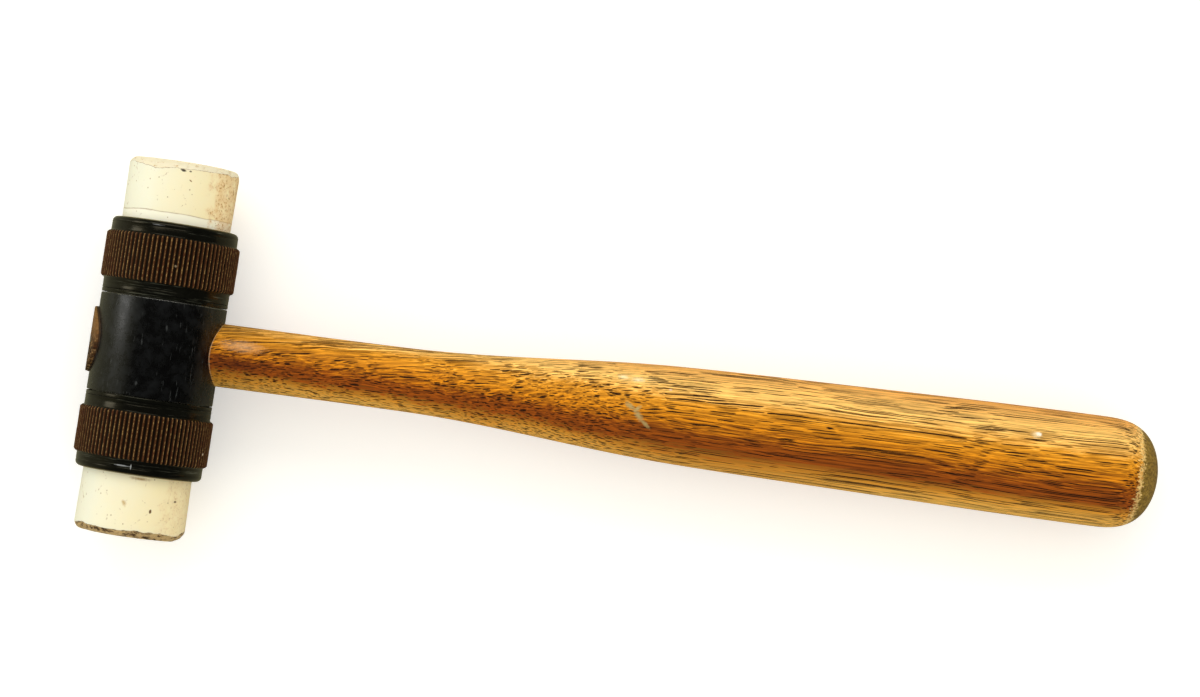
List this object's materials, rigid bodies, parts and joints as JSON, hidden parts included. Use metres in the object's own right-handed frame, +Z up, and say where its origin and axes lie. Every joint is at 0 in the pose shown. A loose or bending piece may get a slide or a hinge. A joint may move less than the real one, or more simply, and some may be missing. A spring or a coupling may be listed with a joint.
{
  "type": "soft-face mallet",
  "caption": "Small soft-face mallet: a turned wooden handle wedged in a steel head, with a plastic striking face at each end of the head, held by a knurled screw collar.",
  "frame": {"origin": "under the middle of the mallet's bounding box, on the bench that it lies on", "axes": "+X from the head towards the butt of the handle, +Y along the head axis out of the upper striking face, +Z up from the bench"},
  "size_m": [0.3106, 0.107, 0.0381],
  "materials": {
    "barrel_enamel": "worn black gloss enamel on steel",
    "collar_steel": "blackened steel bands, rust-brown straight knurl",
    "face_plastic": "aged cream plastic, satin, chipped edge",
    "handle_wood": "oiled open-grained hardwood, satin",
    "wedge_wood": "plain hardwood",
    "wedge_steel": "dull steel"
  },
  "bodies": {
    "head": {"head_body": "barrel_enamel", "handle": "handle_wood", "wood_wedge": "wedge_wood", "steel_wedge": "wedge_steel"},
    "upper_face": {"upper_face": "face_plastic"},
    "upper_collar": {"upper_collar": "collar_steel"},
    "lower_face": {"lower_face": "face_plastic"},
    "lower_collar": {"lower_collar": "collar_steel"}
  },
  "joints": [
    {"name": "upper_face_travel", "type": "slide", "parent": "head", "child": "upper_face", "axis": [0, 1, 0], "range_m": [0, 0.013]},
    {"name": "upper_collar_turn", "type": "hinge", "parent": "upper_face", "child": "upper_collar", "pos_m": [-0.13611, 0, 0.01905], "axis": [0, 1, 0], "range_deg": [0, 2340]},
    {"name": "lower_face_travel", "type": "slide", "parent": "head", "child": "lower_face", "axis": [0, -1, 0], "range_m": [0, 0.013]},
    {"name": "lower_collar_turn", "type": "hinge", "parent": "lower_face", "child": "lower_collar", "pos_m": [-0.13611, 0, 0.01905], "axis": [0, -1, 0], "range_deg": [0, 2340]}
  ],
  "couplings": [
    {"joint": "upper_face_travel", "follows": "upper_collar_turn", "m_per_rad": 0.0003183},
    {"joint": "lower_face_travel", "follows": "lower_collar_turn", "m_per_rad": 0.0003183}
  ]
}
